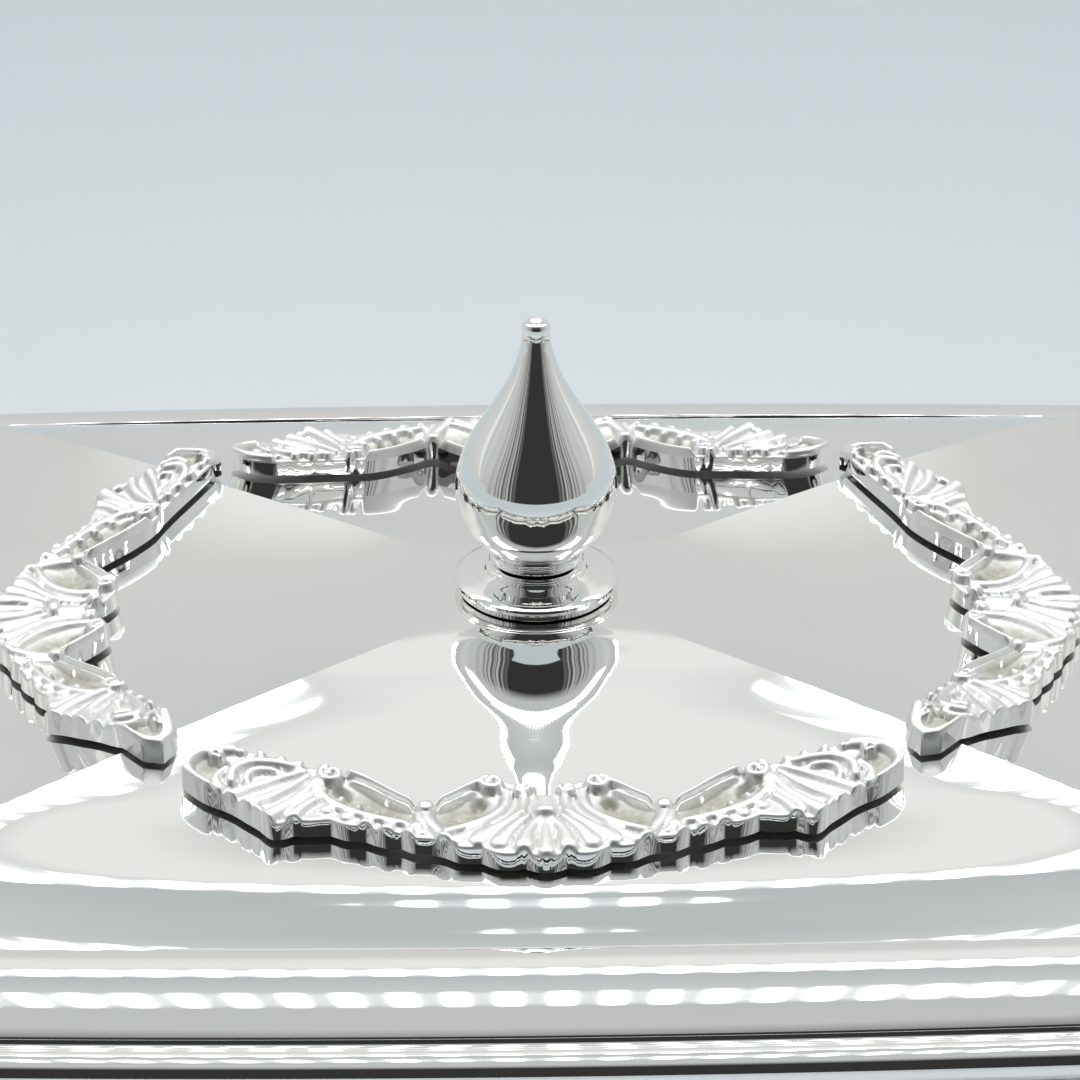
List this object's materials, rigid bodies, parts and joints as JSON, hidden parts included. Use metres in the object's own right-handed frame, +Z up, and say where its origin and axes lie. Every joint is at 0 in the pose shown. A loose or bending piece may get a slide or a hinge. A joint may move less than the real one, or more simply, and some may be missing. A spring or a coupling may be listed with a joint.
{
  "type": "vanity trinket box",
  "caption": "Rectangular silver-plated trinket box with a domed, creased lift-off lid, a ring of cast scroll mounts, a turned knob, ball feet and a velvet lining.",
  "frame": {"origin": "on the ground under the middle of the box, in the plane of the felt discs' undersides", "axes": "+Z up along the knob's axis, +X along the long side to the right, front is -Y"},
  "size_m": [0.228, 0.186, 0.1411],
  "materials": {
    "polished_silver": "mirror-polished silver plate",
    "knob_silver": "turned and polished silver plate",
    "cast_silver": "bright cast silver plate, warmer in its hollows",
    "velvet_lining": "short-pile velvet",
    "foot_felt": "pressed felt",
    "brass_fasteners": "turned brass",
    "steel_stud": "zinc-plated steel"
  },
  "bodies": {
    "box": {"body_walls": "polished_silver", "mouth_moulding": "polished_silver", "plinth_moulding": "polished_silver", "base_plate": "polished_silver", "foot_front_left": "cast_silver", "foot_front_right": "cast_silver", "foot_back_right": "cast_silver", "foot_back_left": "cast_silver", "foot_screw_front_left": "brass_fasteners", "foot_screw_front_right": "brass_fasteners", "foot_screw_back_right": "brass_fasteners", "foot_screw_back_left": "brass_fasteners", "foot_felt_front_left": "foot_felt", "foot_felt_front_right": "foot_felt", "foot_felt_back_right": "foot_felt", "foot_felt_back_left": "foot_felt", "lining_front": "velvet_lining", "lining_back": "velvet_lining", "lining_right": "velvet_lining", "lining_left": "velvet_lining", "floor_pad": "velvet_lining"},
    "lid": {"lid_shell": "polished_silver", "lid_locating_strip": "polished_silver", "lid_lining_pad": "velvet_lining", "mount_front": "cast_silver", "mount_right": "cast_silver", "mount_back": "cast_silver", "mount_left": "cast_silver", "knob_rosette": "knob_silver", "knob_finial": "knob_silver", "knob_stud": "steel_stud", "knob_washer": "brass_fasteners", "knob_nut": "brass_fasteners"}
  },
  "joints": [
    {"name": "lid_lift", "type": "slide", "parent": "box", "child": "lid", "axis": [0, 0, 1], "range_m": [0, 0.1]}
  ]
}
